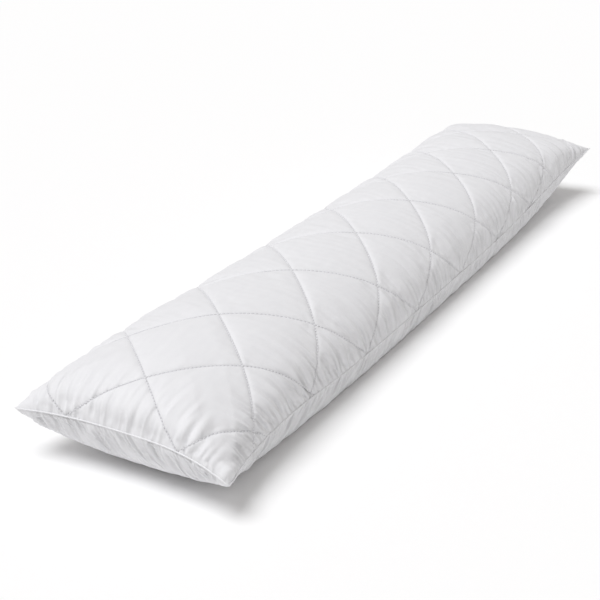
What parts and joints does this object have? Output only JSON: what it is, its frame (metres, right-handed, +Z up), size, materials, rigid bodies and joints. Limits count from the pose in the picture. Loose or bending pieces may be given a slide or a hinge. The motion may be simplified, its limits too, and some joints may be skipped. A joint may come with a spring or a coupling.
{
  "type": "quilted body pillow",
  "caption": "Long filled body pillow, lying flat: crowned top quilted in diamonds, plain underside, drawn-in sides, pointed corners and a thin corded edge seam.",
  "frame": {"origin": "middle of the underside, on the surface that the pillow rests on", "axes": "+Y along the pillow, +Z up through its thickness, +X across it"},
  "size_m": [0.3272, 1.4327, 0.1643],
  "materials": {
    "shell_cloth": "smooth white microfibre, matt with a faint sheen",
    "edge_cord": "white cord covered in the shell cloth"
  },
  "bodies": {
    "root": {"pillow": "shell_cloth", "edge_piping": "edge_cord"}
  },
  "joints": []
}
